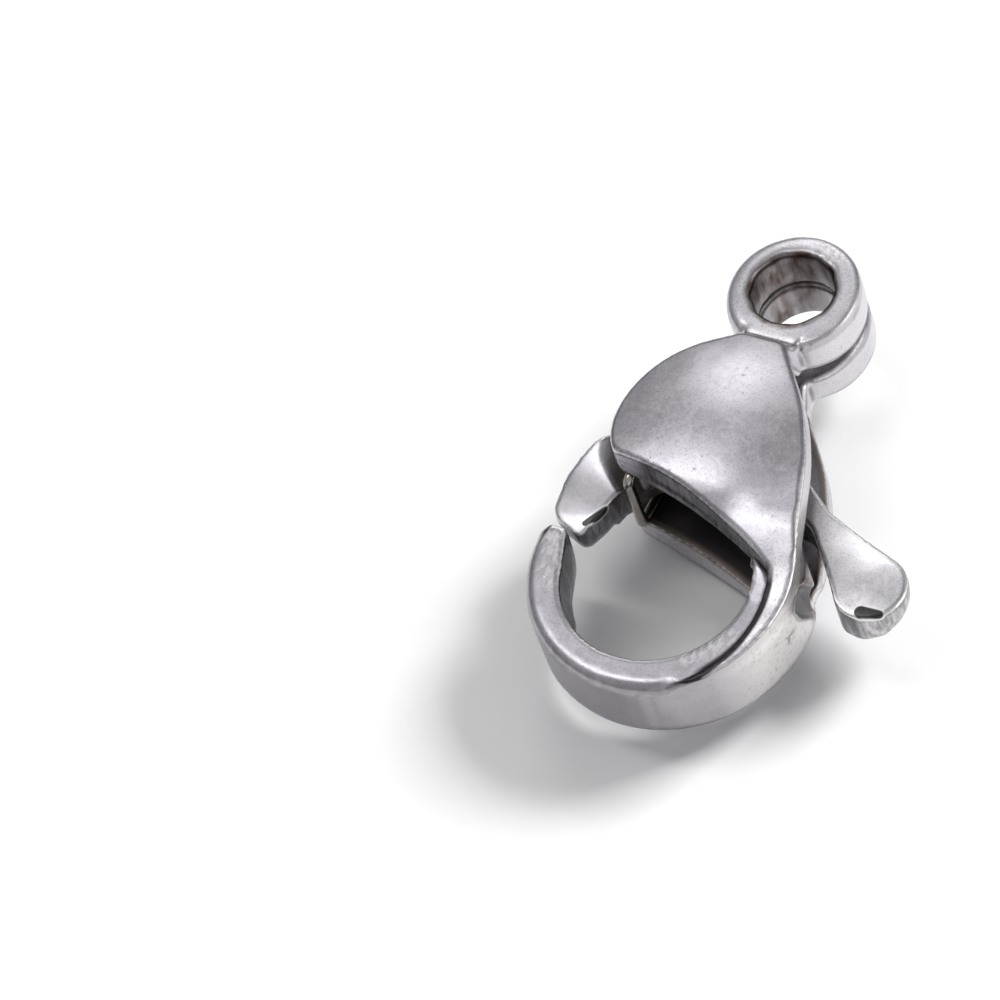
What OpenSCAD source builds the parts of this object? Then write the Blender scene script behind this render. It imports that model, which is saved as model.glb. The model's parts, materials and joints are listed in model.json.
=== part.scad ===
// Lobster clasp, cast stainless steel: a body with a hook, two domed plates and a
// pair of eye rings, and between the plates a sprung lever with a gate and a thumb paddle.
// Each piece is drawn in the clasp's own frame: the origin is the eye's centre, +Y runs
// to the hook, +X to the gate and Z through the thickness. The lower half mirrors the upper
// one, apart from the ridge along the hook, which only the upper face has.
// at_rest() then tips the whole clasp as it lies on a table, on the crown of its lower dome.

/* [Hook] */
// Distance from the eye's centre to the centre of the hook's outer curve
hook_y = 7.38; // [6.9:0.01:8.2]
// Distance of that centre from the long axis, towards the thumb
hook_x = 0.08; // [0:0.01:0.12]
// Outer radius of the hook
hook_r = 3.1; // [2.95:0.01:3.4]
// Radius of the round space inside the hook
mouth_r = 2.15; // [1.9:0.01:2.25]
// How far the centre of that space lies nearer the head than the outer curve's
mouth_shift = 0.2; // [0.1:0.01:0.3]
// Height of the hook
hook_h = 1.93; // [1.6:0.01:1.95]
// Rounding of the hook's outer edges
hook_round = 0.3; // [0.1:0.01:0.4]
// Angle at which the inside wall leaves the round and flares out to the tip
tip_flare_deg = 17; // [10:1:25]
// How far the tip reaches past the outer curve's centre, towards the plates
tip_reach = 0.3; // [0.1:0.01:0.4]
// Rounding of the tip's outer corner, seen from above
tip_round = 0.35; // [0.2:0.01:0.4]

/* [Plates] */
// Thickness of the clasp between the crowns of its two domes
body_t = 4.16; // [3.9:0.01:4.5]
// Radius of the domes
dome_r = 7.2; // [6.5:0.1:9]
// Distance from the eye's centre to the domes' crowns
dome_y = 4.15; // [3.95:0.01:4.5]
// Height of the upper face where the dome runs out along the hook, over the middle
shoulder_h = 1.78; // [1.7:0.01:1.9]
// Radius of the faces there
shoulder_r = 12; // [9:0.1:13]
// Reach of the plates from the long axis, towards the gate
gate_reach = 2.28; // [2.15:0.01:2.4]
// Radius of the plates' side towards the gate
gate_flank_r = 2.76; // [2.6:0.01:3.2]
// Reach of the curve of the plates' side towards the thumb
thumb_reach = 2.66; // [2.5:0.01:2.8]
// Radius of the plates' side towards the thumb
thumb_flank_r = 6.12; // [5.5:0.01:7]
// Radius of the plates' corner beside the gate
corner_r = 0.9; // [0.7:0.01:1]
// Radius of the shallow curve of the plates' edge along the mouth
mouth_edge_r = 12; // [8:0.5:20]
// Distance from the eye's centre to that edge, on the long axis
mouth_edge_y = 5.83; // [5.75:0.01:6.1]
// Slope of that edge against the clasp's width
mouth_edge_deg = 18; // [15:0.1:20]
// Width of the ridge in which the plates run out, along the outside of the hook
ridge_w = 0.5; // [0.4:0.01:0.6]
// How far the ridge thins towards the hook's end: its inner edge isn't quite round the hook
ridge_thin = 0.42; // [0.2:0.01:0.5]
// Slope of the ledge that rises from the hook's face to the plates, inside their edge
ledge_deg = 9.5; // [5:0.5:12]
// Height of the slot between the plates
slot_h = 1.97; // [1.8:0.01:2.05]
// Radius of the groove on the outside of the hook's root
groove_r = 0.34; // [0.2:0.01:0.4]
// Depth of that groove at its round end
groove_depth = 0.3; // [0.1:0.01:0.34]
// Place of the groove's round end round the hook, from the gate's side
groove_at_deg = 187.5; // [184:0.5:192]
// Height of the groove's round end over the clasp's middle
groove_top = 0.45; // [0.2:0.01:0.6]
// Lean of the groove, which runs down towards the slot
groove_lean_deg = 33; // [20:1:45]

/* [Eye] */
// Radius of the eye's hole
eye_hole_r = 0.95; // [0.8:0.01:1.05]
// Outer radius of the eye's rings
eye_r = 1.54; // [1.48:0.01:1.6]
// Height of the two rings together
eye_t = 2.38; // [2.2:0.01:2.6]
// Gap between the two rings
seam = 0.06; // [0.04:0.01:0.1]
// Gap between the rings where they meet the necks: it opens in a wedge from the eye's middle
wedge_gap = 0.52; // [0.2:0.01:0.6]
// Rounding of the rings' outer edge at the top and bottom
eye_round = 0.34; // [0.2:0.01:0.4]
// Rounding of the rings' outer edge at the seam
seam_round = 0.22; // [0.08:0.01:0.25]
// Rounding of the edges of the eye's hole
hole_round = 0.12; // [0.05:0.01:0.15]
// Width of the neck between the eye and the plates
neck_w = 1.3; // [1.1:0.01:1.4]

/* [Pivot] */
// Distance from the eye's centre to the pivot pin, along the clasp
pivot_y = 3.3; // [3.2:0.01:3.5]
// Distance of the pivot pin from the long axis, towards the gate
pivot_x = 0.4; // [0.2:0.01:0.5]
// Radius of the pivot pin
pin_r = 0.45; // [0.3:0.01:0.5]
// Depth to which the pin is let into each plate
pin_seat = 0.55; // [0.4:0.01:0.6]
// Running clearance round the pin in the lever
pin_clear = 0.03; // [0.02:0.01:0.05]
// Gap round the pin and at its ends in the plates
pin_gap = 0.01; // [0.005:0.005:0.02]

/* [Lever] */
// Thickness of the lever at its edges
lever_t = 0.94; // [0.8:0.01:1]
// Thickness of the gate at its crown
gate_t = 1.34; // [1.1:0.01:1.5]
// Thickness of the thumb paddle at its crown
thumb_t = 1.26; // [1.1:0.01:1.4]
// Radius of the lever's hub
hub_r = 1.5; // [1.35:0.01:1.55]
// Radius of the lever's bosses, which carry the spring's coils
boss_r = 0.93; // [0.8:0.01:0.95]
// Radius of the gate's bent arm at its widest
gate_r = 0.56; // [0.45:0.01:0.62]
// Radius of the thumb paddle
thumb_r = 0.8; // [0.7:0.01:0.9]
// Distance of the thumb paddle's centre from the pivot, across the clasp
thumb_x = 4.87; // [4.7:0.01:5.1]
// Distance of the thumb paddle's centre from the pivot, along the clasp
thumb_y = 2.95; // [2.7:0.01:3.1]
// Half the width of the thumb arm's waist
waist_r = 0.25; // [0.22:0.01:0.35]
// Distance of the thumb arm's waist from the pivot, across the clasp
waist_x = 3.1; // [2.9:0.01:3.3]
// Distance of the thumb arm's waist from the pivot, along the clasp
waist_y = 1.62; // [1.5:0.01:1.75]
// Radius of the crowned faces of the gate and the thumb paddle
crown_r = 5.5; // [4:0.1:8]
// Radius of the lever's inside corners, seen from above
web_r = 0.8; // [0.4:0.05:0.9]
// Clearance between the gate's end and the hook's tip, and the lever and the slot
lever_clear = 0.08; // [0.05:0.01:0.12]

/* [Spring] */
// Diameter of the spring's wire
wire_d = 0.22; // [0.14:0.01:0.22]
// Radius of the coils, to the middle of the wire
coil_r = 1.14; // [1.1:0.01:1.2]
// Gap between the coils, and from them to the lever
wire_gap = 0.025; // [0.02:0.005:0.04]

/* [Resting pose] */
// Angle by which the hook's end lies lower than the eye, where the clasp balances by itself
rest_head_deg = 4.7; // [3:0.1:6]
// Angle by which the thumb's side lies lower than the gate's
rest_thumb_deg = 1.7; // [0.5:0.1:3]

/* [Hidden] */
$fn = 48;
// Taller and wider than anything in the clasp
tall = 12;
wide = 14;
hook = [-hook_x, hook_y];
mouth = [0, hook_y + mouth_shift];
tip_y = hook_y - tip_reach;
// The plates' tail, as wide as the neck, is drawn in from its two corners
tail_round = 0.25;
tail = [neck_w/2, eye_r + tail_round];
dome = [-0.1, dome_y];
shoulder = [-hook_r + 1.2, hook_y - 1.8];
corner = [gate_reach - corner_r - 0.05, dome_y + 0.47];
// The slot ends in the hook's root, on a line from its inside corner to its outside one
root_in = [-mouth_r + 0.05, mouth.y - 0.63];
root_out = [-hook_r + 0.2, hook_y - 1.48];
root_run = (root_out - root_in)/norm(root_out - root_in);
pivot = [pivot_x, pivot_y];
thumb = pivot + [-thumb_x, thumb_y];
waist = pivot + [-waist_x, waist_y];
gate_end = [hook_r - gate_r, tip_y - lever_clear - gate_r - 0.15];
gate_nose = gate_end + [-0.21, 0.49];
gate_bend = gate_end + [-0.12, -0.55];
gate_elbow = gate_end + [-0.36, -1.52];
steel = "silver";

// The point at radius r and angle a round the centre c
function round_point(c, r, a) = c + r*[cos(a), sin(a)];

// The centre of a flank of radius r that starts at the tail's corner p and reaches out to x
function flank_centre(p, x, r) =
    let(cx = x - sign(x)*r) [cx, p.y + sqrt(r*r - (p.x - cx)*(p.x - cx))];

// Two caps of a sphere, back to back: they reach up to h over the middle and down to low
module lens(at, h, r, low = undef) {
    bottom = is_undef(low) ? h : low;
    intersection() {
        translate([at.x, at.y, h - r]) sphere(r = r, $fn = 96);
        translate([at.x, at.y, r - bottom]) sphere(r = r, $fn = 96);
    }
}

// Everything on the tail side of a line across the clasp that ends at the hook's root
module tail_side(y, far) {
    polygon([[wide, y], [0, y], root_in, root_in + far*root_run, [-wide, -1], [wide, -1]]);
}

// All that lies on the mouth's side of the plates' shallow curved edge
module mouth_side(back = 0) {
    translate(round_point([0, mouth_edge_y], mouth_edge_r, 90 - mouth_edge_deg))
        circle(r = mouth_edge_r + back, $fn = 240);
}

// Plan of the hook's space on the head side of the plates: round, with a flare to the tip
module mouth_plan() {
    turn = round_point(mouth, mouth_r, tip_flare_deg);
    fall = turn.y - tip_y + 0.1;
    flare = turn + [fall*tan(tip_flare_deg), -fall];
    intersection() {
        union() {
            translate(mouth) circle(r = mouth_r, $fn = 96);
            polygon([mouth, turn, flare, [wide, flare.y], [wide, 0], [0, 0]]);
        }
        mouth_side();
    }
}

// Plan of what is cut from the plates down to their ledge: all that lies past their edge
// along the mouth, and inside the ridge round the outside of the hook
module step_plan() {
    shift = [ridge_thin/2, ridge_thin];
    centre = hook + shift;
    offset(r = corner_r/2) offset(r = -corner_r/2) intersection() {
        mouth_side(back = 0.05);
        union() {
            translate(centre) circle(r = hook_r - ridge_w + 0.4*ridge_thin, $fn = 96);
            translate(centre - [0, hook_r]) square([wide, wide]);
        }
    }
}

// Plan of the plates with the ridge: a tail, two curved flanks, the corner beside the gate
// and, just inside the hook's wall, the root
module plate_plan() {
    root_r = hook_r - 0.04;
    hull() {
        for (side = [-1, 1])
            translate([side*(tail.x - tail_round) - 0.05, tail.y]) circle(r = tail_round);
        intersection() {
            translate(flank_centre(tail, gate_reach, gate_flank_r))
                circle(r = gate_flank_r, $fn = 96);
            translate(flank_centre([-tail.x, tail.y], -thumb_reach, thumb_flank_r))
                circle(r = thumb_flank_r, $fn = 180);
            translate([-wide, tail.y]) square([2*wide, corner.y - tail.y]);
        }
        translate(corner) circle(r = corner_r);
        intersection() {
            translate(hook) circle(r = root_r, $fn = 72);
            translate(hook - [hook_r, 1]) square([1.2, 1.4]);
        }
    }
    difference() {
        translate(hook) circle(r = root_r, $fn = 72);
        translate([-1.2, 0]) square([wide, wide]);
        translate([-wide, 0]) square([2*wide, hook_y]);
    }
}

module plates() {
    difference() {
        intersection() {
            linear_extrude(tall, center = true) plate_plan();
            union() {
                lens(dome, body_t/2, dome_r);
                lens(shoulder, shoulder_h, shoulder_r, low = hook_h/2 + 0.2);
            }
        }
        for (side = [0, 1]) mirror([0, 0, side]) intersection() {
            linear_extrude(tall) step_plan();
            translate([0, mouth.y, hook_h/2]) {
                translate([-wide, 0, 0]) cube([2*wide, wide, tall]);
                rotate([-ledge_deg, 0, 0]) translate([-wide, -wide, 0]) cube([2*wide, wide, tall]);
            }
        }
        linear_extrude(tall, center = true) mouth_plan();
    }
}

module hook_band() {
    difference() {
        translate([hook.x, hook.y]) rotate_extrude($fn = 96) hook_section();
        linear_extrude(tall, center = true) {
            tail_side(tip_y, wide);
            tip_corner();
            mouth_plan();
        }
    }
}

// What rounds the tip's outer corner
module tip_corner() {
    out = hook + [sqrt(hook_r*hook_r - tip_reach*tip_reach), -tip_reach];
    difference() {
        translate(out - [tip_round, 1]) square([2, 1 + tip_round]);
        translate(out + [-tip_round, tip_round]) circle(r = 1.08*tip_round);
    }
}

// Half the section of the hook's blank, a disc with rounded edges
module hook_section() {
    square([hook_r - hook_round, hook_h/2]);
    translate([0, -hook_h/2]) square([hook_r - hook_round, hook_h]);
    translate([0, -hook_h/2 + hook_round]) square([hook_r, hook_h - 2*hook_round]);
    for (side = [-1, 1])
        translate([hook_r - hook_round, side*(hook_h/2 - hook_round)]) circle(r = hook_round);
}

// The slot for the lever, open to the tail and to both sides
module slot() {
    linear_extrude(slot_h, center = true) tail_side(tip_y, wide);
}

// The round groove that slants down the outside of the hook's root
module root_groove() {
    translate([hook.x, hook.y, groove_top]) rotate([0, 0, groove_at_deg])
        translate([hook_r + groove_r - groove_depth, 0, 0]) rotate([groove_lean_deg, 0, 0]) {
            sphere(r = groove_r);
            translate([0, 0, -tall]) cylinder(r = groove_r, h = tall);
        }
}

module pin_bores() {
    translate([pivot.x, pivot.y, 0]) cylinder(r = pin_r, h = slot_h + 2*pin_seat, center = true);
}

// Half of the eye: one ring, with a rounded outside and a plain hole
module eye_ring() {
    h = (eye_t - seam)/2;
    translate([0, 0, seam/2]) rotate_extrude($fn = 96) difference() {
        translate([eye_hole_r, 0]) square([eye_r - eye_hole_r, h]);
        outer_corner(eye_round, h, 1);
        outer_corner(seam_round, 0, -1);
        difference() {
            translate([0, h - hole_round]) square([eye_hole_r + hole_round, 1]);
            translate([eye_hole_r + hole_round, h - hole_round]) circle(r = hole_round);
        }
    }
}

// What a rounding of radius r takes off the ring's outer corner at height z
module outer_corner(r, z, side) {
    difference() {
        translate([eye_r - r, side > 0 ? z - r : z - 1]) square([1, r + 1]);
        translate([eye_r - r, z - side*r]) circle(r = r);
        translate([eye_r - r - 1, side > 0 ? z - r - 1 : z + r]) square([3, 1]);
    }
}

// The step from a plate down to its ring, seen from the side; below it the necks part in a V
module neck() {
    foot = eye_r + 0.05;
    top = eye_t/2;
    translate([-neck_w/2 - 0.05, 0, 0]) rotate([90, 0, 90]) linear_extrude(neck_w) polygon([
        [eye_hole_r + 0.14, seam/2],
        [eye_hole_r + 0.14, top - 0.02],
        [foot - 0.24, top + 0.02],
        [foot, top + 0.34],
        [foot + 0.3, top + 0.34],
        [foot + 0.55, slot_h/2 - 0.01],
        [foot + 0.3, slot_h/2 - 0.01],
        [foot - 0.12, seam/2],
    ]);
}

// The wedge by which the rings part from each other towards the plates
module seam_wedge() {
    rotate([90, 0, 90]) linear_extrude(wide, center = true)
        polygon([[0, 0], [2*eye_r, wedge_gap], [2*eye_r, -wedge_gap]]);
}

module clasp_body_flat() {
    difference() {
        union() {
            plates();
            hook_band();
        }
        slot();
        root_groove();
        pin_bores();
    }
    difference() {
        for (side = [0, 1]) mirror([0, 0, side]) {
            eye_ring();
            neck();
        }
        seam_wedge();
    }
}

// Plan of the lever: a hub, the bent gate arm and the thumb arm with its paddle
module lever_plan() {
    offset(r = -web_r) offset(r = web_r) {
        translate(pivot) circle(r = hub_r);
        hull() {
            translate(gate_end) circle(r = gate_r);
            translate(gate_nose) circle(r = 0.18);
            translate(gate_bend) circle(r = gate_r + 0.02);
        }
        hull() {
            translate(gate_bend) circle(r = gate_r + 0.02);
            translate(gate_elbow) circle(r = gate_r + 0.1);
        }
        hull() {
            translate(gate_elbow) circle(r = gate_r + 0.1);
            translate(pivot + [0.9, 0.1]) circle(r = gate_r + 0.14);
        }
        hull() {
            translate(pivot + [-0.95, 0.65]) circle(r = 0.75);
            translate(waist) circle(r = waist_r);
        }
        hull() {
            translate(waist) circle(r = waist_r);
            translate(thumb) circle(r = thumb_r);
        }
    }
}

module lever_flat() {
    difference() {
        union() {
            intersection() {
                linear_extrude(slot_h, center = true) lever_plan();
                union() {
                    cube([2*wide, 2*wide, lever_t], center = true);
                    lens(gate_bend + [-0.05, 0.1], gate_t/2, crown_r);
                    lens(thumb, thumb_t/2, crown_r);
                }
            }
            translate([pivot.x, pivot.y, 0])
                cylinder(r = boss_r, h = slot_h - lever_clear, center = true);
        }
        translate([pivot.x, pivot.y, 0])
            cylinder(r = pin_r + pin_clear, h = tall, center = true);
    }
}

module pivot_pin_flat() {
    translate([pivot.x, pivot.y, 0])
        cylinder(r = pin_r - pin_gap, h = slot_h + 2*pin_seat - 4*pin_gap, center = true);
}

// Half of the wire's path, from a leg's end against the hook's root, once and a half round the
// lever's boss and along an arm to the middle of the bridge that presses on the gate
function half_path() =
    let(
        low = lever_t/2 + wire_gap + wire_d/2,
        high = low + wire_d + wire_gap,
        bridge = [gate_bend.x - gate_r - wire_d/2 - 2*wire_gap, gate_bend.y],
        bend_r = 0.8*wire_d
    )
    concat(
        [[root_in.x + wire_d, root_in.y - 0.35, low]],
        [for (a = [180:15:720])
            let(rise = max(0, min(1, (a - 360)/180)))
            [pivot.x + coil_r*cos(a), pivot.y + coil_r*sin(a), low + (high - low)*rise]],
        [for (a = [0:30:90])
            [bridge.x, bridge.y - bend_r*(1 - sin(a)), high - bend_r*(1 - cos(a))]]
    );

// The whole wire: the half path, and the same below it in the other direction
function spring_path() =
    let(half = half_path(), n = len(half))
    concat(half, [for (i = [n - 1:-1:0]) [half[i].x, half[i].y, -half[i].z]]);

function unit(v) = v/norm(v);

// A tube along the path p, each ring turned as little as possible from the one before it
module swept_wire(p, d, sides) {
    n = len(p);
    run = [for (i = [0:n - 1]) unit(p[min(i + 1, n - 1)] - p[max(i - 1, 0)])];
    across = [
        for (i = 0, u = unit(cross(run[0], [0, 0, 1]));
             i < n;
             i = i + 1, u = unit(u - (u*run[min(i, n - 1)])*run[min(i, n - 1)])) u
    ];
    rings = [
        for (i = [0:n - 1], k = [0:sides - 1])
            let(a = 360*k/sides)
            p[i] + d/2*(cos(a)*across[i] + sin(a)*cross(run[i], across[i]))
    ];
    skin = [
        for (i = [0:n - 2], k = [0:sides - 1])
            let(a = i*sides + k, b = i*sides + (k + 1)%sides)
            [a, a + sides, b + sides, b]
    ];
    ends = [[for (k = [0:sides - 1]) k], [for (k = [sides - 1:-1:0]) (n - 1)*sides + k]];
    polyhedron(rings, concat(skin, ends), convexity = 10);
}

module spring_flat() {
    swept_wire(spring_path(), wire_d, 8);
}

// Tips the clasp as it lies, balanced on the crown of its lower dome
module at_rest() {
    rotate([-rest_head_deg, 0, 0]) rotate([0, -rest_thumb_deg, 0]) children();
}

module clasp_body() { color(steel) at_rest() clasp_body_flat(); }
module lever() { color("lightgray") at_rest() lever_flat(); }
module pivot_pin() { color("gray") at_rest() pivot_pin_flat(); }
module spring() { color("darkgray") at_rest() spring_flat(); }

clasp_body();
lever();
pivot_pin();
spring();
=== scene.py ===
import json
import math

import bmesh
import bpy
import numpy as np
from mathutils import Matrix, Vector, noise


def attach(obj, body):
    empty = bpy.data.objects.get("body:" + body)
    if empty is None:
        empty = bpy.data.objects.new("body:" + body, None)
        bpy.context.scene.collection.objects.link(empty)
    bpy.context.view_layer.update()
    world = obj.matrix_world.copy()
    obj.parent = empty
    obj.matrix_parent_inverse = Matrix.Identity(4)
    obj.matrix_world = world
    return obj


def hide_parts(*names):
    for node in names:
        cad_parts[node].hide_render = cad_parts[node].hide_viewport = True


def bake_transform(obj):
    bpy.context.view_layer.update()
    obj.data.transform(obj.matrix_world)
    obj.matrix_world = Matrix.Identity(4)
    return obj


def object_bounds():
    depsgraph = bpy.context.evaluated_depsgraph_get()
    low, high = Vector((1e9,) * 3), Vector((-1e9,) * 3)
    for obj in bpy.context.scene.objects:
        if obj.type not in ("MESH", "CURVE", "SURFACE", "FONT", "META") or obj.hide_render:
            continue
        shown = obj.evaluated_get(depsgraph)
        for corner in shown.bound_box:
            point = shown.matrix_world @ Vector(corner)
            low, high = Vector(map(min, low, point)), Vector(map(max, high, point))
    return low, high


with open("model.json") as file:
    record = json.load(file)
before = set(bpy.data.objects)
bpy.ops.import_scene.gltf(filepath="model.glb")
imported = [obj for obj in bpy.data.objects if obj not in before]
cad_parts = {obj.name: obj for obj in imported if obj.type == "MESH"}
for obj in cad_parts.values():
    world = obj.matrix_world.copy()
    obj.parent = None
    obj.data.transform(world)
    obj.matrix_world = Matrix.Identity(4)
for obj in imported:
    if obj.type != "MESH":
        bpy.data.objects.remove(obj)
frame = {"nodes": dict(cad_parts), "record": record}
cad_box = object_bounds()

# The body: hook, two domed plates, necks and eye rings, cast in one piece of stainless steel.
# The casting is tumbled and buffed, which leaves its edges round and its broad faces bright
# and slightly wavy, while the slot between the plates stays dull and has painted shade in it.
MM = 0.001

# Plates: the dome and the flatter shoulder beside it, both parts of a sphere
dome_at, dome_r, dome_top = Vector((-0.1, 4.15, 0)), 7.2, 2.08
shoulder_at, shoulder_r, shoulder_top = Vector((-1.9, 5.58, 0)), 12, 1.78
saddle_blend, cap_reach, cap_facing = 0.10, 0.03, 0.975

# Hook: its upright walls, the ridge that falls away beside its root, and its tip
hook_at, hook_r = Vector((-0.08, 7.38, 0)), 3.1
mouth_at, mouth_r = Vector((0, 7.58, 0)), 2.15
ledge_at, ledge_r = Vector((0.13, 7.80, 0)), 2.768
wall_facing = 0.2
ridge_from, ridge_to, ridge_foot, ridge_drop = 5.5, 7.8, 0.98, 0.5
tip_at, tip_pull = Vector((2.65, 7.35, 0)), (0.17, 0, 0)
tip_reach, tip_top, tip_depth, thin_most = 1.2, 0.7, 1.6, 1.2

# Eye rings: the fine seam between them, the upper one's outer edge and its hole
eye_r, eye_half, eye_beyond = 1.54, 1.19, 1.56
seam_near, seam_end, seam_open = 0.04, 1.74, 0.065
ring_round, ring_fullness, neck_from, neck_half = 0.34, 6, 1.1, 0.75
fuller_mean, fuller_swing, fuller_least = 0.55, 0.6, 0.2
hole_edge, hole_rise, hole_uneven, hole_ripple = 1.2, (0.45, 0.95), 0.05, 3
hole_lip, lip_lean = 0.10, 0.3

# Casting: cells, passes that wear the edges, and the waves that buffing leaves
body_cell, body_passes, weld = 0.055, 8, 1e-4
wear_blurs, wear_sharpest = 5, 99
wave_sizes = ((1.1, 0.008), (0.4, 0.003))

eye_axis = Vector(frame["record"]["mounts"][0]["axis"])
head_down = math.atan2(eye_axis.y, eye_axis.z)
thumb_down = math.asin(-eye_axis.x)
lying = Matrix.Rotation(-head_down, 4, "X") @ Matrix.Rotation(-thumb_down, 4, "Y")
placed = lying @ Matrix.Scale(MM, 4)


def apply_modifiers(piece):
    view = bpy.context.evaluated_depsgraph_get()
    mesh = bpy.data.meshes.new_from_object(piece.evaluated_get(view))
    piece.modifiers.clear()
    piece.data = mesh


def points_of(piece, what="co"):
    """The piece's points, or with "normal" the way its surface faces there."""
    flat = np.empty(3*len(piece.data.vertices), np.float32)
    piece.data.vertices.foreach_get(what, flat)
    return flat.reshape(-1, 3).astype(float)


def move_points(piece, points):
    piece.data.vertices.foreach_set("co", points.astype(np.float32).ravel())
    piece.data.update()


def ramp(values, low, high):
    """0 at low, 1 at high, even between and level beyond. Low may be the larger."""
    return np.clip((values - low)/(high - low), 0, 1)


def eased(share):
    """From 0 to 1 like the share itself, but with a soft start and end."""
    return share**2*(3 - 2*share)


def away_from(points, centre):
    """Each point's distance from an upright axis, and its direction from it."""
    away = points[:, :2] - np.array(centre[:2])
    far = np.maximum(np.linalg.norm(away, axis=1), 1e-6)
    return far, away/far[:, None]


def true_sphere(points, centre, radius, reach=0.025):
    """Points that lie close to a sphere go onto it."""
    away = points - np.array(centre)
    far = np.linalg.norm(away, axis=1)
    near = np.abs(far - radius) < reach
    points[near] = np.array(centre) + away[near]*(radius/far[near])[:, None]


def true_wall(points, normals, centre, radius, reach=0.02):
    """Points on an upright round wall go onto it; a flat face that meets it stays."""
    far, turn = away_from(points, centre)
    near = (np.abs(far - radius) < reach) & (np.abs(normals[:, 2]) < wall_facing)
    points[near, :2] = np.array(centre[:2]) + turn[near]*radius


def make_wavy(piece, sizes):
    """Pushes the surface in and out a little, as a casting's is after buffing."""
    points, normals = points_of(piece), points_of(piece, "normal")
    for size, depth in sizes:
        push = np.array([noise.noise(Vector(p)/size) for p in points])
        points += normals*(push*depth)[:, None]
    move_points(piece, points)


def mark_wear(piece, unworn):
    """Marks how far each point was worn: about 1 on sharp edges, below 0 in corners."""
    worn = ((unworn - points_of(piece))*points_of(piece, "normal")).sum(axis=1)
    ends = np.empty(2*len(piece.data.edges), np.int32)
    piece.data.edges.foreach_get("vertices", ends)
    one, other = ends.reshape(-1, 2).T
    count = np.bincount(ends, minlength=len(worn)) + 1
    for blur in range(wear_blurs):
        worn = (worn + np.bincount(one, worn[other], len(worn))
                + np.bincount(other, worn[one], len(worn)))/count
    worn /= np.percentile(worn, wear_sharpest)
    mark = piece.data.attributes.new("wear", "FLOAT", "POINT")
    mark.data.foreach_set("value", worn.astype(np.float32))


def worn_casting(name, node, cell, passes, true_up, prepare=None):
    """A node's shape in small even cells, trued on its round faces, with its edges worn.

    The work is done in millimetres, in the clasp's own upright position."""
    blank = bmesh.new()
    blank.from_mesh(frame["nodes"][node].data)
    bmesh.ops.remove_doubles(blank, verts=blank.verts, dist=weld*MM)
    bmesh.ops.transform(blank, matrix=placed.inverted(), verts=blank.verts)
    if prepare:
        prepare(blank)
    mesh = bpy.data.meshes.new(name)
    blank.to_mesh(mesh)
    blank.free()
    model = bpy.data.objects.new(name + "_model", mesh)
    piece = bpy.data.objects.new(name, mesh.copy())
    for thing in (model, piece):
        bpy.context.scene.collection.objects.link(thing)
    cells = piece.modifiers.new("cells", "REMESH")
    cells.mode, cells.voxel_size = "VOXEL", cell
    hold = piece.modifiers.new("hold", "SHRINKWRAP")
    hold.target, hold.wrap_method = model, "NEAREST_SURFACEPOINT"
    apply_modifiers(piece)
    points = points_of(piece)
    true_up(points, points_of(piece, "normal"))
    move_points(piece, points)
    wear = piece.modifiers.new("wear", "SMOOTH")
    wear.factor, wear.iterations = 0.5, passes
    apply_modifiers(piece)
    mark_wear(piece, points)
    bpy.data.objects.remove(model)
    return piece


def into_place(piece):
    """Turns a piece from its upright position in millimetres to where it lies."""
    piece.data.transform(placed)
    piece.data.update()
    piece.data.polygons.foreach_set("use_smooth", [True]*len(piece.data.polygons))


def cap_height(points, centre, radius, top):
    """Height of a dome's surface over each point."""
    across = np.linalg.norm(points[:, :2] - np.array(centre[:2]), axis=1)
    return top - radius + np.sqrt(radius**2 - np.minimum(across, radius)**2)


def soft_join(one, other, blend):
    """The higher of two surfaces, with a hollow blended where they cross."""
    share = np.clip(0.5 + (one - other)/(2*blend), 0, 1)
    return other + (one - other)*share + blend*share*(1 - share)


def lies_on_cap(points, normals, centre, radius, top):
    """Whether each point's surface faces as the dome's does there."""
    away = points - np.array((centre[0], centre[1], top - radius))
    away /= np.linalg.norm(away, axis=1)[:, None]
    return (away*normals).sum(axis=1) > cap_facing


def true_body(points, normals):
    true_sphere(points, dome_at + Vector((0, 0, dome_r - dome_top)), dome_r)
    dome = cap_height(points, dome_at, dome_r, dome_top)
    shoulder = cap_height(points, shoulder_at, shoulder_r, shoulder_top)
    upper = np.abs(points[:, 2] - np.maximum(dome, shoulder)) < cap_reach
    upper &= (lies_on_cap(points, normals, dome_at, dome_r, dome_top)
              | lies_on_cap(points, normals, shoulder_at, shoulder_r, shoulder_top))
    points[upper, 2] = soft_join(dome, shoulder, saddle_blend)[upper]
    for centre, radius in ((hook_at, hook_r), (mouth_at, mouth_r), (ledge_at, ledge_r)):
        true_wall(points, normals, centre, radius)


def part_rings(blank):
    """Opens the fine seam between the eye rings, so that the cells don't close it."""
    for v in blank.verts:
        if abs(v.co.z) < seam_near and v.co.y < seam_end:
            v.co.z = math.copysign(seam_open, v.co.z)


def square_ring(piece):
    """Fills out the quarter-round outer edge of the upper ring, most on its thumb side."""
    points = points_of(piece)
    out, turn = away_from(points, (0, 0))
    aside, above = out - (eye_r - ring_round), points[:, 2] - (eye_half - ring_round)
    corner = (aside > 0) & (above > 0) & (out < eye_beyond)
    corner &= (points[:, 1] < neck_from) | (np.abs(points[:, 0]) > neck_half)
    far = np.maximum(np.hypot(aside, above), 1e-6)
    fuller = (aside/far)**ring_fullness + (above/far)**ring_fullness + 1e-9
    fuller **= -1/ring_fullness
    gain = 1 + (fuller - 1)*np.clip(fuller_mean - fuller_swing*turn[:, 0], fuller_least, 1)
    points[corner, :2] = (turn*(eye_r - ring_round + aside*gain)[:, None])[corner]
    points[corner, 2] = (eye_half - ring_round + above*gain)[corner]
    move_points(piece, points)


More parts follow.
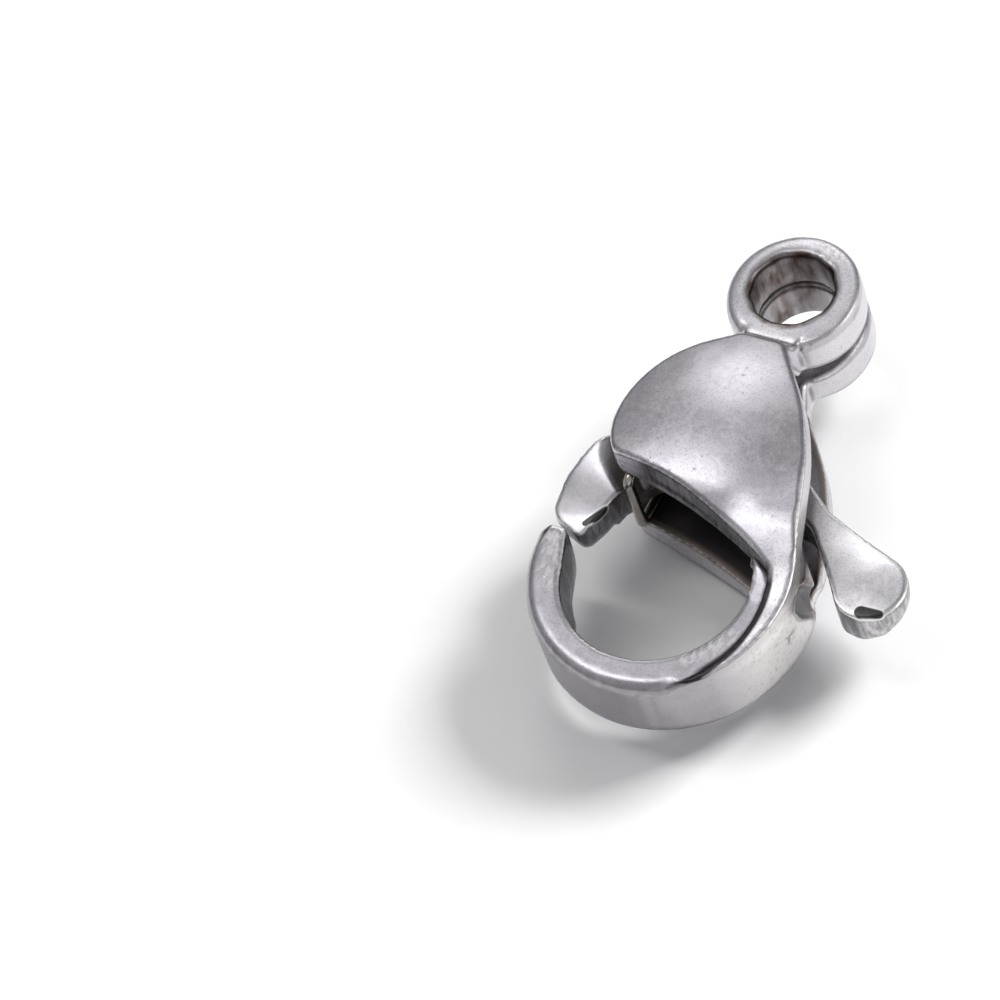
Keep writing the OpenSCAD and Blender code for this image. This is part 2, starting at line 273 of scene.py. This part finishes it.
def shape_hole(piece):
    """Makes the upper ring's hole uneven, with a lip on the side towards the plates."""
    points = points_of(piece)
    out, turn = away_from(points, (0, 0))
    rim = (points[:, 2] > hole_rise[0]) & (out < hole_edge)
    ripple = [noise.noise(Vector((x, y, 0))*hole_ripple) for x, y in turn[rim]]
    lip = np.clip(turn[rim, 1] - lip_lean*turn[rim, 0], 0, 1)
    push = hole_uneven*np.array(ripple) - hole_lip*lip
    push *= ramp(points[rim, 2], *hole_rise)
    points[rim, :2] = turn[rim]*(out[rim] + push)[:, None]
    move_points(piece, points)


def lower_ridge(piece):
    """Beside the hook's root, the rim stands lower than the shoulder that it runs out of."""
    points = points_of(piece)
    past = eased(ramp(points[:, 1], ridge_from, ridge_to))
    points[:, 2] -= ridge_drop*past*np.maximum(points[:, 2] - ridge_foot, 0)
    move_points(piece, points)


def thin_out(piece, at, reach, top, depth, pull):
    """Rounds the underside of an end: below `top`, points near `at` are drawn along `pull`."""
    points = points_of(piece)
    far, turn = away_from(points, at)
    low = np.clip((top - points[:, 2])/depth, 0, thin_most)
    points += np.array(pull)*(low**2*ramp(far, reach, reach*2/3))[:, None]
    move_points(piece, points)


body_cast = worn_casting("body_cast", "clasp_body", body_cell, body_passes, true_body,
                         prepare=part_rings)
thin_out(body_cast, tip_at, tip_reach, tip_top, tip_depth, tip_pull)
square_ring(body_cast)
shape_hole(body_cast)
lower_ridge(body_cast)
make_wavy(body_cast, wave_sizes)
into_place(body_cast)


class Signal:
    """A value inside a finish, with arithmetic that adds the Math nodes it needs."""

    def __init__(self, finish, socket):
        self.finish, self.socket = finish, socket

    def maths(self, operation, first, second=0):
        return self.finish.node("ShaderNodeMath", {"operation": operation}, {0: first, 1: second})

    def __add__(self, other):
        return self.maths("ADD", self, other)

    def __sub__(self, other):
        return self.maths("SUBTRACT", self, other)

    def __rsub__(self, other):
        return self.maths("SUBTRACT", other, self)

    def __mul__(self, other):
        return self.maths("MULTIPLY", self, other)

    def __abs__(self):
        return self.maths("ABSOLUTE", self)

    __radd__, __rmul__ = __add__, __mul__


class Finish:
    """A material with one shader and the nodes that vary it. Places are in millimetres."""

    def __init__(self, name, **steady):
        self.material = bpy.data.materials.new(name)
        self.material.use_nodes = True
        self.tree = self.material.node_tree
        self.shader = self.tree.nodes["Principled BSDF"]
        for socket, value in steady.items():
            self.shader.inputs[socket].default_value = value

    def node(self, kind, settings, sockets, out=0):
        made = self.tree.nodes.new(kind)
        for name, value in settings.items():
            setattr(made, name, value)
        for name, value in sockets.items():
            if isinstance(value, Signal):
                self.tree.links.new(value.socket, made.inputs[name])
            else:
                made.inputs[name].default_value = value
        return Signal(self, made.outputs[out])

    def feed(self, name, signal):
        self.tree.links.new(signal.socket, self.shader.inputs[name])

    def vector(self, operation, first, second, out=0):
        return self.node("ShaderNodeVectorMath", {"operation": operation},
                         {0: first, 1: second}, out)

    def scaled(self, vector, scale):
        return self.node("ShaderNodeVectorMath", {"operation": "SCALE"},
                         {0: vector, "Scale": scale})

    def here(self):
        return self.node("ShaderNodeTexCoord", {}, {}, out="Object")

    def flat_place(self):
        """Places on the clasp as if it lay level."""
        turned = self.node("ShaderNodeVectorRotate", {"rotation_type": "X_AXIS"},
                           {"Vector": self.here(), "Angle": head_down})
        level = self.node("ShaderNodeVectorRotate", {"rotation_type": "Y_AXIS"},
                          {"Vector": turned, "Angle": thumb_down})
        return self.scaled(level, 1/MM)

    def along(self, place, axis):
        """How far a place lies along X, Y or Z."""
        return self.node("ShaderNodeSeparateXYZ", {}, {"Vector": place}, out=axis)

    def distance(self, place, centre):
        return self.vector("DISTANCE", place, centre, out="Value")

    def from_axis(self, place, centre=(0, 0)):
        """Distance from an upright axis of the clasp."""
        level = self.vector("MULTIPLY", place, (1, 1, 0))
        return self.distance(level, (centre[0], centre[1], 0))

    def grain(self, place, scale, detail=3, stretch=(1, 1, 1)):
        """Smooth random values round 0.5, with about `scale` of them to the millimetre."""
        run = self.node("ShaderNodeMapping", {}, {"Vector": place, "Scale": stretch})
        return self.node("ShaderNodeTexNoise", {},
                         {"Vector": run, "Scale": scale, "Detail": detail})

    def step(self, value, low, high):
        """0 below low, 1 above high, and a ramp between."""
        return self.node("ShaderNodeMapRange", {},
                         {"Value": value, "From Min": low, "From Max": high})

    def fade(self, value, low, high):
        """1 below low, 0 above high, and a ramp between."""
        return 1 - self.step(value, low, high)

    def wall(self):
        """1 on the clasp's upright walls, 0 on its upper and lower faces."""
        facing = self.node("ShaderNodeNewGeometry", {}, {}, out="Normal")
        up = self.vector("DOT_PRODUCT", facing, tuple(eye_axis), out="Value")
        return self.fade(abs(up), 0.35, 0.6)

    def worn(self, low, high):
        """Runs from 0 to 1 between two amounts of wear."""
        mark = self.node("ShaderNodeAttribute", {"attribute_name": "wear"}, {}, out="Fac")
        return self.step(mark, low, high)

    def near(self, place, centre, inner, outer):
        """1 round a point, falling to 0."""
        return self.fade(self.distance(place, centre), inner, outer)

    def near_line(self, place, start, end, reach, soft, taper=0):
        """1 round a straight line, falling to 0; it may thin towards its end."""
        run = Vector(end) - Vector(start)
        gone = self.vector("SUBTRACT", place, start)
        share = self.vector("DOT_PRODUCT", gone, run/run.length_squared, out="Value")
        share = self.step(share, 0, 1)
        gap = self.distance(gone, self.scaled(run, share))
        return self.fade(gap + share*taper, reach, reach + soft)

    def tint(self, amount, first, second):
        """Goes from the first colour, which may be a varied one, to the second."""
        if not isinstance(first, Signal):
            first = (*first, 1)
        return self.node("ShaderNodeMix", {"data_type": "RGBA"},
                         {"Factor": amount, 6: first, 7: (*second, 1)}, out=2)

    def coated(self, colour, coats):
        """Lays colours one over another, each as far as its own amount says."""
        for amount, coat in coats:
            colour = self.tint(amount, colour, coat)
        return colour

    def bump(self, height, depth):
        relief = self.node("ShaderNodeBump", {},
                           {"Height": height, "Distance": depth*MM, "Strength": 1.0})
        self.feed("Normal", relief)


# Colours: the metal's own two greys, then the coats over them in the order they are laid
cast_dark, cast_light, ring_pale_crest_highlight = (0.50, 0.48, 0.52), (0.62, 0.60, 0.64), (0.84, 0.82, 0.85)
speck_grey, crown_painted_shade, pit_grey = (0.36, 0.345, 0.37), (0.20, 0.193, 0.205), (0.28, 0.27, 0.28)
wall_pale_reflection, edge_painted_shade, frost_brown = (0.90, 0.87, 0.84), (0.12, 0.115, 0.12), (0.42, 0.38, 0.36)
stain_brown, edge_painted_highlight, scuff_bright = (0.22, 0.18, 0.16), (0.88, 0.87, 0.86), (0.80, 0.79, 0.78)
mouth_painted_shade, crease_painted_shade, ridge_foot_painted_shadow = (0.08, 0.075, 0.08), (0.05, 0.045, 0.05), (0.025, 0.022, 0.025)
hollow_painted_shade, slot_painted_shade = (0.035, 0.032, 0.035), (0.07, 0.062, 0.066)
slot_brown, bore_brown = (0.26, 0.21, 0.18), (0.10, 0.07, 0.055)

# Where the coats lie: each pair says between which two measures a coat comes or goes
slot_height, slot_front, slot_back = (1.01, 1.06), (6.6, 7.0), (1.5, 1.8)
rim_at, rim_shade = (3.46, 6.32), (5.37, 5.77)
mouth_wall, mouth_low, bore_wall, ring_spread = (2.3, 2.5), (-0.9, -0.6), (1.0, 1.08), (1.55, 2.1)
line_from_ledge, line_width = 0.05, (0.07, 0.12)
line_low, line_high, line_along = (0.9, 0.95), (1.35, 1.5), (6.2, 6.6)
crest_out, crest_along, crest_low = (0.12, 0.2), (6.3, 6.9), (0.97, 1.03)
crown_along, thumb_wall, lower_plate = (8.4, 9.8), (-2.9, -2.2), (-1.0, -0.95)
groove_line, groove_reach, groove_soft = ((-3.0, 6.86, 0.22), (-2.85, 6.45, -0.5)), 0.40, 0.06
stain_at, stain_reach = (-3.155, 7.77, 0.18), (0.08, 0.24)
scuffs = (((2.57, 7.5, 0.96), 0.5), ((2.25, 8.2, 0.96), 0.5), ((-1.55, 9.25, 0.96), 0.35),
          ((-1.9, 8.95, 0.96), 0.35), ((-2.2, 8.6, 0.96), 0.3), ((-0.4, -1.25, 1.15), 0.6))


def cast_grain(steel, place, cloud_scale, pit_scale, stroke_scale, stroke_range):
    """A casting's skin: clouds, frost, specks, pits and the wheel's strokes up its walls."""
    cloud, frost = steel.grain(place, cloud_scale), steel.grain(place, 9, detail=5)
    mottle = steel.step(cloud*0.6 + frost*0.4, 0.38, 0.62)
    specks = steel.step(steel.grain(place, 22, detail=2), 0.50, 0.68)
    pits = steel.step(steel.grain(place, pit_scale, detail=2), 0.70, 0.76)
    strokes = steel.grain(place, stroke_scale, detail=4, stretch=(1, 1, 0.12))
    return cloud, frost, mottle, specks, pits, steel.step(strokes, *stroke_range)


def cast_steel():
    """Buffed casting: soft clouds, fine pits, wheel marks up the side walls, a dull inside in
    painted shade.
    """
    steel = Finish("cast_steel", Metallic=1.0)
    place = steel.flat_place()
    x, y, z = (steel.along(place, axis) for axis in "XYZ")
    height, wall = abs(z), steel.wall()
    from_eye = steel.from_axis(place)
    past_ledge = steel.from_axis(place, ledge_at) - ledge_r
    cloud, frost, mottle, specks, pits, strokes = cast_grain(steel, place, 1.3, 9, 12, (0.3, 0.7))

    in_slot = steel.fade(height, *slot_height)*steel.fade(y, *slot_front)
    in_slot = in_slot*steel.step(y, *slot_back)
    slot_shade = in_slot*steel.fade(steel.from_axis(place, rim_at), *rim_shade)
    slot_edge = in_slot*steel.worn(0.04, 0.25)
    in_mouth = wall*steel.fade(steel.from_axis(place, mouth_at), *mouth_wall)
    in_mouth = in_mouth*steel.step(z, *mouth_low)
    bore = steel.fade(from_eye, *bore_wall)
    burnt = steel.step(steel.grain(place, 2.4, stretch=(1, 1, 0.35)), 0.42, 0.62)
    hollow = steel.near_line(place, *groove_line, groove_reach, groove_soft)

    # A painted shadow along the foot of the ridge, the crest beside it, and the sides
    line = steel.fade(abs(past_ledge - line_from_ledge), *line_width)*steel.step(z, *line_low)
    line = line*steel.fade(height, *line_high)*steel.step(y, *line_along)
    crest = steel.step(past_ledge, *crest_out)*steel.step(y, *crest_along)*(1 - wall)
    crest = crest*steel.step(z, *crest_low)
    ring = steel.fade(from_eye, *ring_spread)
    crown = wall*steel.step(y, *crown_along)
    thumb_side = wall*steel.fade(x, *thumb_wall)
    low_side = wall*steel.fade(z, *lower_plate)*(strokes*0.7 + 0.1)

    # edge: a painted dark outline along the rounded edges, a dark reflection
    edge = steel.worn(0.30, 0.45)*(1 - steel.worn(0.72, 0.86))
    # lip: a painted highlight along the sharpest, most worn edges
    lip = steel.worn(0.78, 0.95)*0.7
    # crease: painted shade in the creases and corners
    crease = 1 - steel.worn(-0.7, -0.25)
    stain = steel.near(place, stain_at, *stain_reach)*steel.step(frost, 0.45, 0.55)
    scuff = sum(steel.near(place, centre, 0.5*reach, reach) for centre, reach in scuffs)
    scuff = scuff*steel.step(steel.grain(place, 6, detail=4, stretch=(1.6, 0.8, 1)), 0.48, 0.55)

    colour = steel.coated(steel.tint(mottle, cast_dark, cast_light), (
        # the ring paler all over; on the crest beside the ridge the same pale is a painted
        # highlight
        ((ring + crest)*0.5, ring_pale_crest_highlight),
        (specks*(0.55 - wall*0.25), speck_grey),
        # painted shade on the walls round the hook's crown, a darker reflection of the shaded floor
        # in front
        (crown*0.45, crown_painted_shade),
        (pits*0.5, pit_grey),
        # paler, warmer walls on the thumb side and the lower plate: a painted reflection of the
        # bright floor, streaked by the wheel
        ((thumb_side + low_side)*0.6, wall_pale_reflection),
        # the painted dark outline on the rounded edges
        (edge*0.45, edge_painted_shade),
        (thumb_side*steel.step(frost, 0.54, 0.66)*0.4, frost_brown),
        (stain*0.6, stain_brown),
        # the painted highlight along the sharpest edges
        (lip, edge_painted_highlight),
        (scuff*0.5, scuff_bright),
        # painted shade on the walls inside the hook's mouth, streaked by the wheel
        (in_mouth*(strokes*0.45 + 0.5), mouth_painted_shade),
        # the painted shade in the creases and corners
        (crease*0.9, crease_painted_shade),
        # a painted shadow along the foot of the ridge
        (line*0.97, ridge_foot_painted_shadow),
        # painted shade inside the groove on the thumb-side wall
        (hollow*0.96, hollow_painted_shade),
        # painted shade deep in the slot between the plates
        (slot_shade*0.97, slot_painted_shade),
        (slot_edge*0.7, slot_brown),
        # the painted highlight again on the slot's edges
        (lip*in_slot, edge_painted_highlight),
        (bore*(burnt*0.5 + 0.5), bore_brown)))
    steel.feed("Base Color", colour)
    steel.feed("Roughness", cloud*0.10 + frost*0.22 + 0.20 + pits*0.2 + slot_shade*0.2)
    steel.bump(strokes*wall*0.3 + frost*0.35 - pits*0.4 + scuff*0.4, 0.006)
    return steel.material


body_cast.data.materials.clear()
body_cast.data.materials.append(cast_steel())
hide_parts("clasp_body")
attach(body_cast, "body")


# The pivot pin: a plain turned pin through the lever's hub, let into both plates.
# It hardly shows, between the plates.
pin_dark, pin_light = (0.42, 0.41, 0.41), (0.56, 0.55, 0.54)


def turned_steel():
    """Steel from the lathe, with fine lines round it."""
    steel = Finish("turned_steel", Metallic=1.0)
    lines = steel.grain(steel.flat_place(), 8, stretch=(0.2, 0.2, 4))
    steel.feed("Base Color", steel.tint(lines, pin_dark, pin_light))
    steel.feed("Roughness", lines*0.2 + 0.25)
    return steel.material


pin = frame["nodes"]["pivot_pin"]
pin.data.materials.clear()
pin.data.materials.append(turned_steel())


# The spring: one hard-drawn wire, wound once and a half round each of the lever's bosses, with
# a leg against the hook's root on each side and a bridge between, which presses on the gate.
wire_r, wire_gap, wire_sides = 0.125, 0.01, 14
coil_r, coil_deg, coil_steps = 1.14, 540, 54
bend_r, bend_steps = 0.16, 6
pivot, lever_half = Vector((0.4, 3.3, 0)), 0.47
leg_end = Vector((-1.9, 6.6))
bridge_x, gate_bend_y, bridge_clear = 1.63, 5.55, (5.25, 5.5)
wire_bright, wire_brown, wire_painted_shade = (0.62, 0.59, 0.55), (0.36, 0.31, 0.27), (0.08, 0.07, 0.065)


def only_edges(geometry):
    return [e for e in geometry if isinstance(e, bmesh.types.BMEdge)]


def run_to(wire, edges, target):
    """Draws the wire's open end out straight to a place, and gives the new end."""
    grown = bmesh.ops.extrude_edge_only(wire, edges=edges)["geom"]
    verts = [v for v in grown if isinstance(v, bmesh.types.BMVert)]
    middle = sum((v.co for v in verts), Vector())/len(verts)
    bmesh.ops.translate(wire, verts=verts, vec=target - middle)
    return [e for e in only_edges(grown) if all(v in verts for v in e.verts)]


def wound_wire(name):
    """Winds the upper half of the spring from its leg to its bridge, and mirrors it."""
    low = lever_half + wire_gap + wire_r
    high = low + 2*wire_r + wire_gap
    wire = bmesh.new()
    start = pivot + Vector((-coil_r, 0, low))
    upright = Matrix.Translation(start) @ Matrix.Rotation(math.pi/2, 4, "X")
    bmesh.ops.create_circle(wire, segments=wire_sides, radius=wire_r, matrix=upright)
    first = wire.edges[:]
    rise = Vector((0, 0, (high - low)/coil_steps))
    coil = bmesh.ops.spin(wire, geom=first, cent=pivot, axis=(0, 0, 1), dvec=rise,
                          angle=math.radians(coil_deg), steps=coil_steps)
    leg = run_to(wire, first, Vector((leg_end.x, leg_end.y, low)))
    bmesh.ops.contextual_create(wire, geom=leg)
    bend_at = Vector((bridge_x, gate_bend_y - bend_r, high))
    arm = run_to(wire, only_edges(coil["geom_last"]), bend_at)
    elbow = bmesh.ops.spin(wire, geom=arm, cent=bend_at - Vector((0, 0, bend_r)),
                           axis=(-1, 0, 0), angle=math.pi/2, steps=bend_steps)
    run_to(wire, only_edges(elbow["geom_last"]), Vector((bridge_x, gate_bend_y, 0)))
    half = wire.verts[:] + wire.edges[:] + wire.faces[:]
    bmesh.ops.mirror(wire, geom=half, axis="Z", merge_dist=weld)
    bmesh.ops.remove_doubles(wire, verts=wire.verts, dist=weld)
    bmesh.ops.recalc_face_normals(wire, faces=wire.faces)
    mesh = bpy.data.meshes.new(name)
    wire.to_mesh(mesh)
    wire.free()
    piece = bpy.data.objects.new(name, mesh)
    bpy.context.scene.collection.objects.link(piece)
    into_place(piece)
    return piece


def drawn_wire():
    """Bright wire with fine lines along it, a trace of brown, and painted shade inside the clasp.
    """
    steel = Finish("drawn_wire", Metallic=1.0)
    place = steel.flat_place()
    heat, lines = steel.grain(place, 2), steel.grain(place, 25, detail=2)
    inside = steel.fade(steel.along(place, "Y"), *bridge_clear)
    colour = steel.tint(heat, wire_bright, wire_brown)
    # painted shade on the wire where it runs inside the clasp
    steel.feed("Base Color", steel.tint(inside*0.85, colour, wire_painted_shade))
    steel.feed("Roughness", lines*0.15 + 0.12)
    steel.bump(lines, 0.004)
    return steel.material


spring_wire = wound_wire("spring_wire")
spring_wire.data.materials.append(drawn_wire())
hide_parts("spring")
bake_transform(spring_wire)


# The lever: a cast hub with the gate on one side and the thumb arm with its paddle on the
# other. It is tumbled like the body, and its ends keep small dents from the grinding wheel.
crown_r, arm_blend, face_facing = 5.5, 0.10, 0.5
gate_crown_at, gate_top = Vector((2.37, 5.84, 0)), 0.67
thumb_at, thumb_top, thumb_r = Vector((-4.47, 6.25, 0)), 0.63, 0.8
lever_cell, lever_passes = 0.042, 7

# Gate: the ends that thin out below, the arm's hollow and crest, and its fuller outer side
thin_top, thin_depth = 0.45, 1.1
gate_tip_at, gate_reach, gate_pull = Vector((2.45, 6.7, 0)), 1.0, (0, -0.34, 0)
inner_tip_at, inner_reach, inner_pull = Vector((1.95, 6.2, 0)), 0.9, (0.18, -0.05, 0)
arm_hollow_at, arm_hollow_r, arm_low = Vector((0.97, 4.18, 0)), 1.72, -0.47
arm_fall, arm_deepest, crest_round = 1.3, 0.75, 0.07
fall_width, fall_across, fall_from = (9/7, 1), (1.1, 1.3), 4
arm_swell, swell_across, swell_y, swell_reach = 0.15, (2.2, 2.8), 4.95, 1.4

# Paddle: fuller than a round end, away from its arm, and thinner below
arm_way, arm_side = Vector((0.8, -0.6, 0)), (0.9, -0.1)
paddle_swell, swell_end = 0.09, (1.25, 0.75)
paddle_sides = tuple(Vector((math.cos(a), math.sin(a), 0)) for a in (2.2, 3.0, 3.8))
paddle_pull, paddle_reach = 0.16, 1.1


def true_lever(points, normals):
    gate = cap_height(points, gate_crown_at, crown_r, gate_top)
    thumb = cap_height(points, thumb_at, crown_r, thumb_top)
    plain = np.full(len(points), lever_half)
    surface = np.maximum(np.maximum(gate, thumb), plain)
    face = np.abs(np.abs(points[:, 2]) - surface) < cap_reach
    face &= np.abs(normals[:, 2]) > face_facing
    soft = soft_join(soft_join(gate, thumb, arm_blend), plain, arm_blend)
    points[face, 2] = (np.sign(points[:, 2])*soft)[face]
    true_wall(points, normals, thumb_at, thumb_r)


def slope_arm(piece):
    """The gate's arm falls away from a curved crest towards the mouth."""
    points = points_of(piece)
    far, turn = away_from(points, arm_hollow_at)
    past = arm_hollow_r - far
    fall = np.minimum(arm_fall*(np.hypot(past, crest_round) + past)/2, arm_deepest)
    fall *= ramp(past, *fall_width)*ramp(points[:, 0], *fall_across)
    fall *= points[:, 1] > fall_from
    points[:, 2] = arm_low + (points[:, 2] - arm_low)*(1 - fall/(gate_top - arm_low))
    outer = ramp(points[:, 0], *swell_across)
    outer *= np.maximum(1 - ((points[:, 1] - swell_y)/swell_reach)**2, 0)
    points[:, 0] += arm_swell*eased(outer)
    move_points(piece, points)


def swell_paddle(piece):
    """The paddle is a little fuller than a round end, away from its arm."""
    points = points_of(piece)
    far, turn = away_from(points, thumb_at)
    out = far/thumb_r
    share = np.minimum(out, 1)**2*ramp(out, *swell_end)
    share *= ramp(turn @ np.array(arm_way[:2]), *arm_side)
    points[:, :2] += turn*(paddle_swell*share)[:, None]
    move_points(piece, points)


lever_cast = worn_casting("lever_cast", "lever", lever_cell, lever_passes, true_lever)
thin_out(lever_cast, gate_tip_at, gate_reach, thin_top, thin_depth, gate_pull)
thin_out(lever_cast, inner_tip_at, inner_reach, thin_top, thin_depth, inner_pull)
slope_arm(lever_cast)
swell_paddle(lever_cast)
for outwards in paddle_sides:
    thin_out(lever_cast, thumb_at + thumb_r*outwards, paddle_reach, thin_top, thin_depth,
             -paddle_pull*outwards)
make_wavy(lever_cast, wave_sizes)
into_place(lever_cast)

# Colours and marks: two greys, the coats over them in order, and where the wheel touched
lever_dark, lever_light, gate_painted_shade = (0.66, 0.64, 0.67), (0.82, 0.80, 0.83), (0.48, 0.46, 0.50)
thumb_painted_highlight, fleck_grey, wall_streak_and_shade = (0.96, 0.95, 0.96), (0.42, 0.40, 0.43), (0.14, 0.135, 0.14)
lever_edge_painted_shade, lever_edge_painted_highlight, flank_brown = (0.13, 0.125, 0.13), (0.90, 0.89, 0.88), (0.52, 0.45, 0.39)
mark_rim_painted_highlight, dent_painted_reflection, hub_painted_shade = (0.92, 0.91, 0.90), (0.035, 0.033, 0.035), (0.08, 0.075, 0.08)
flank_in, flank_across, hub_spread, paddle_edge = (0.02, 0.14), (1.2, 1.3), (2.1, 2.4), (0.3, 0.7)
ground_marks = (((1.90, 6.24, 0.58), (2.22, 6.67, 0.60), 0.10),
                ((-4.56, 6.93, 0.56), (-4.96, 6.86, 0.56), 0.13))
mark_soft, mark_taper, mark_rim_width = 0.03, 0.05, 0.05


def ground_mark(steel, place, wider=0):
    """1 in the marks of the grinding wheel, or round them too if it is wider."""
    return sum(steel.near_line(place, start, end, reach + wider, mark_soft, mark_taper)
               for start, end, reach in ground_marks)


def lever_steel():
    """Buffed steel, with streaks and painted shade down its walls, a rough brown flank and ground
    dents.
    """
    steel = Finish("lever_steel", Metallic=1.0)
    place = steel.flat_place()
    x, wall = steel.along(place, "X"), steel.wall()
    cloud, frost, mottle, specks, pits, strokes = cast_grain(steel, place, 1.6, 8, 10, (0.35, 0.62))
    flank = steel.step(arm_hollow_r - steel.from_axis(place, arm_hollow_at), *flank_in)
    flank = flank*steel.step(x, *flank_across)
    # hub: where the lever lies between the plates, painted dark as shade
    hub = steel.fade(steel.from_axis(place, pivot), *hub_spread)
    gate_side = steel.step(x, 0, 1)
    paddle_rim = steel.step(steel.from_axis(place, thumb_at), *paddle_edge)*(1 - gate_side)
    # edge: a painted dark outline along the lever's rounded edges
    edge = steel.worn(0.15, 0.35)*(1 - steel.worn(0.60, 0.80))
    dent, mark_rim = ground_mark(steel, place), ground_mark(steel, place, mark_rim_width)

    colour = steel.coated(steel.tint(mottle, lever_dark, lever_light), (
        # the gate's side painted a darker grey, as painted shade
        (gate_side*0.6, gate_painted_shade),
        # a painted highlight on the thumb arm and the paddle's rim
        (paddle_rim*0.45, thumb_painted_highlight),
        (specks*0.40, fleck_grey),
        (pits*0.5, pit_grey),
        # darker walls: the wheel's streaks, and painted shade that deepens on the gate side
        (wall*(strokes*0.5 + gate_side*0.2 + 0.3), wall_streak_and_shade),
        # a painted dark outline on the rounded edges, then a painted highlight on the sharpest
        (edge*0.45, lever_edge_painted_shade),
        (steel.worn(0.70, 0.95)*0.8, lever_edge_painted_highlight),
        (flank*(strokes*0.45 + 0.45), flank_brown),
        # round the ground marks a painted highlight, and inside them a painted dark reflection
        (mark_rim*0.7, mark_rim_painted_highlight),
        (dent*0.97, dent_painted_reflection),
        # painted shade on the hub, between the plates
        (hub*0.85, hub_painted_shade)))
    steel.feed("Base Color", colour)
    steel.feed("Roughness", cloud*0.10 + frost*0.16 + 0.18 + pits*0.2 + flank*0.15)
    steel.bump(strokes*wall*0.4 + frost*0.3 - pits*0.4 - dent*2, 0.005)
    return steel.material


lever_cast.data.materials.clear()
lever_cast.data.materials.append(lever_steel())
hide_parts("lever")
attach(lever_cast, "lever")


# The floor: one plain sheet of pale matt paper, laid flat under the clasp. It is much larger
# than the picture shows, so that none of its edges is seen or mirrored.
floor_half, floor_height, fibre_scale = 0.4, cad_box[0][2], 900
sheet_dark, sheet_light = (0.90, 0.90, 0.90), (0.93, 0.93, 0.93)


def pale_sheet():
    """Matt paper with a faint unevenness."""
    sheet = Finish("pale_sheet", Metallic=0.0, Roughness=0.65)
    fibres = sheet.node("ShaderNodeTexNoise", {}, {"Vector": sheet.here(), "Scale": fibre_scale})
    sheet.feed("Base Color", sheet.tint(fibres, sheet_dark, sheet_light))
    return sheet.material


ground = bmesh.new()
bmesh.ops.create_grid(ground, x_segments=1, y_segments=1, size=floor_half,
                      matrix=Matrix.Translation((0, 0, floor_height)))
floor_mesh = bpy.data.meshes.new("floor")
ground.to_mesh(floor_mesh)
ground.free()
floor = bpy.data.objects.new("floor", floor_mesh)
floor_mesh.materials.append(pale_sheet())
bpy.context.scene.collection.objects.link(floor)


# The studio: a camera above the hook's end of the clasp, soft lamps and a pale tent. The tent
# is dim along its hem, which gives the polished walls something dark to mirror.
aim_at, camera_reach = Vector((3.378, 7.801, 1.902))*MM, 167.39*MM
camera_side_deg, camera_rise_deg, camera_roll_deg = -139.52, 50.452, -18.55
lens_mm, film_mm, sight_from, sight_to = 277.2, 36, 0.01, 10
lamps_round, lamp_reach = Vector((0, 0.0045, 0)), 0.3
hem_from, hem_to, hem_dim, hem_bright = 0.05, 0.40, 0.03, 0.31
tent_white, exposure = (0.98, 0.98, 1.0, 1), 0.45

side, rise = math.radians(camera_side_deg), math.radians(camera_rise_deg)
to_camera = Vector((math.sin(side)*math.cos(rise), -math.cos(side)*math.cos(rise),
                    math.sin(rise)))
across = Vector((0, 0, 1)).cross(to_camera).normalized()
level = Matrix((across, to_camera.cross(across), to_camera)).transposed().to_4x4()
camera = bpy.data.objects.new("camera", bpy.data.cameras.new("camera"))
camera.matrix_world = (Matrix.Translation(aim_at + camera_reach*to_camera) @ level
                       @ Matrix.Rotation(math.radians(camera_roll_deg), 4, "Z"))
camera.data.lens, camera.data.sensor_width = lens_mm, film_mm
camera.data.clip_start, camera.data.clip_end = sight_from, sight_to
bpy.context.scene.collection.objects.link(camera)
bpy.context.scene.camera = camera


def lamp(name, towards, size, brightness, mirrored=True, floor_too=True):
    """A soft box that faces the clasp, in a direction from it, of an even brightness.

    A lamp may be left out of the reflections, or off the floor."""
    light = bpy.data.lights.new(name, "AREA")
    light.shape, light.size, light.size_y = "RECTANGLE", size[0], size[1]
    light.energy = brightness*math.pi*size[0]*size[1]
    holder = bpy.data.objects.new(name, light)
    holder.location = lamps_round + lamp_reach*Vector(towards).normalized()
    holder.rotation_euler = Vector(towards).to_track_quat("Z", "Y").to_euler()
    holder.visible_glossy, holder.visible_diffuse = mirrored, floor_too
    bpy.context.scene.collection.objects.link(holder)


lamp("key", (-0.50, -0.60, 0.62), (0.11, 0.11), 18.5, mirrored=False)
lamp("back", (0.33, -0.66, 0.67), (0.10, 0.12), 1.8)
lamp("overhead", (0.38, 0.03, 0.92), (0.052, 0.18), 3.8)
lamp("side", (-0.90, -0.20, 0.38), (0.22, 0.20), 1.45, floor_too=False)
lamp("front", (-0.55, 0.75, 0.25), (0.24, 0.08), 0.5, floor_too=False)

tent = bpy.data.worlds.new("tent")
tent.use_nodes = True
cloth, tied = tent.node_tree.nodes, tent.node_tree.links
towards = cloth.new("ShaderNodeTexCoord")
height = cloth.new("ShaderNodeSeparateXYZ")
hem = cloth.new("ShaderNodeMapRange")
for name, value in (("From Min", hem_from), ("From Max", hem_to),
                    ("To Min", hem_dim), ("To Max", hem_bright)):
    hem.inputs[name].default_value = value
tied.new(towards.outputs["Generated"], height.inputs["Vector"])
tied.new(height.outputs["Z"], hem.inputs["Value"])
tied.new(hem.outputs["Result"], cloth["Background"].inputs["Strength"])
cloth["Background"].inputs["Color"].default_value = tent_white
bpy.context.scene.world = tent
bpy.context.scene.view_settings.view_transform = "Standard"
bpy.context.scene.view_settings.exposure = exposure
